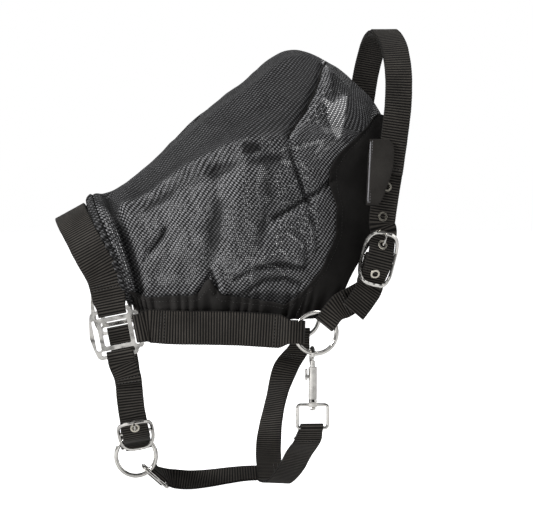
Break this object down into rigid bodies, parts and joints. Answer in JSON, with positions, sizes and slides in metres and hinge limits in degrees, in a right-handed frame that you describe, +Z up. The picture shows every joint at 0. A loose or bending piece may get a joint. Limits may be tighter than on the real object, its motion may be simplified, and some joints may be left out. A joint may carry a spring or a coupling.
{
  "type": "fly mask headcollar",
  "caption": "Fly mask of see-through mesh sewn into a webbing headcollar, with buckled crown and chin straps, round rings and a throat strap closed by a bolt snap.",
  "frame": {"origin": "middle of the flat underside of the crown strap, where it lies on the poll", "axes": "+Z up, -X towards the horse's nose, -Y to the horse's near (left) side, which carries the buckles, the snap and the keeper"},
  "size_m": [0.3401, 0.1964, 0.4524],
  "materials": {
    "black_webbing": "ribbed polypropylene webbing, matt",
    "fly_mesh": "open knitted polyester mesh, see-through",
    "border_cloth": "smooth close-woven cloth, matt",
    "chrome": "bright nickel plate",
    "eyelet_metal": "nickelled brass",
    "spring_steel": "drawn wire"
  },
  "bodies": {
    "headcollar": {"noseband": "black_webbing", "near_cheek_strap": "black_webbing", "off_cheek_strap": "black_webbing", "crown_strap": "black_webbing", "crown_billet": "black_webbing", "near_chin_strap": "black_webbing", "off_chin_strap": "black_webbing", "connector_strap": "black_webbing", "throat_strap": "black_webbing", "crown_eyelet_1": "eyelet_metal", "crown_eyelet_2": "eyelet_metal", "crown_eyelet_3": "eyelet_metal", "crown_eyelet_4": "eyelet_metal", "chin_eyelet": "eyelet_metal", "near_square": "chrome", "off_square": "chrome", "crown_buckle_frame": "chrome", "chin_buckle_frame": "chrome", "link_loop": "chrome", "snap_eye": "chrome", "nose_hem": "fly_mesh", "near_mesh": "fly_mesh", "off_mesh": "fly_mesh", "near_rear_panel": "border_cloth", "off_rear_panel": "border_cloth", "near_lower_border": "border_cloth", "off_lower_border": "border_cloth", "keeper_base": "border_cloth"},
    "near_ring": {"near_throat_ring": "chrome"},
    "off_ring": {"off_throat_ring": "chrome"},
    "chin_ring": {"chin_ring": "chrome"},
    "crown_tongue": {"crown_buckle_tongue": "chrome"},
    "chin_tongue": {"chin_buckle_tongue": "chrome"},
    "snap": {"snap_hook": "chrome", "snap_rivet": "chrome", "snap_spring": "spring_steel"},
    "bolt": {"snap_bolt": "chrome"},
    "flap": {"keeper_flap": "border_cloth"}
  },
  "joints": [
    {"name": "near_ring_turn", "type": "hinge", "parent": "headcollar", "child": "near_ring", "pos_m": [-0.073, -0.084, -0.283], "axis": [0, -1, 0], "continuous": true},
    {"name": "off_ring_turn", "type": "hinge", "parent": "headcollar", "child": "off_ring", "pos_m": [-0.073, 0.084, -0.283], "axis": [0, -1, 0], "continuous": true},
    {"name": "chin_ring_turn", "type": "hinge", "parent": "headcollar", "child": "chin_ring", "pos_m": [-0.2416, -0.006, -0.4095], "axis": [0, -1, 0], "continuous": true},
    {"name": "crown_tongue_lift", "type": "hinge", "parent": "headcollar", "child": "crown_tongue", "pos_m": [-0.0145, -0.083, -0.2135], "axis": [0.9471, 0.1975, -0.2528], "range_deg": [0, 3]},
    {"name": "chin_tongue_lift", "type": "hinge", "parent": "headcollar", "child": "chin_tongue", "pos_m": [-0.2422, -0.046, -0.3804], "axis": [0.9865, 0.0017, 0.1639], "range_deg": [0, 3]},
    {"name": "snap_swivel", "type": "hinge", "parent": "headcollar", "child": "snap", "pos_m": [-0.0765, -0.0885, -0.3503], "axis": [0, 0, 1], "range_deg": [-12, 12]},
    {"name": "snap_bolt_slide", "type": "slide", "parent": "snap", "child": "bolt", "axis": [0, 0, -1], "range_m": [0, 0.008], "stiffness_N_per_m": 150, "deforming": ["snap_spring"]},
    {"name": "keeper_flap_open", "type": "hinge", "parent": "headcollar", "child": "flap", "pos_m": [-0.023, -0.0805, -0.132], "axis": [-0.0635, -0.162, -0.9847], "range_deg": [0, 100]}
  ]
}
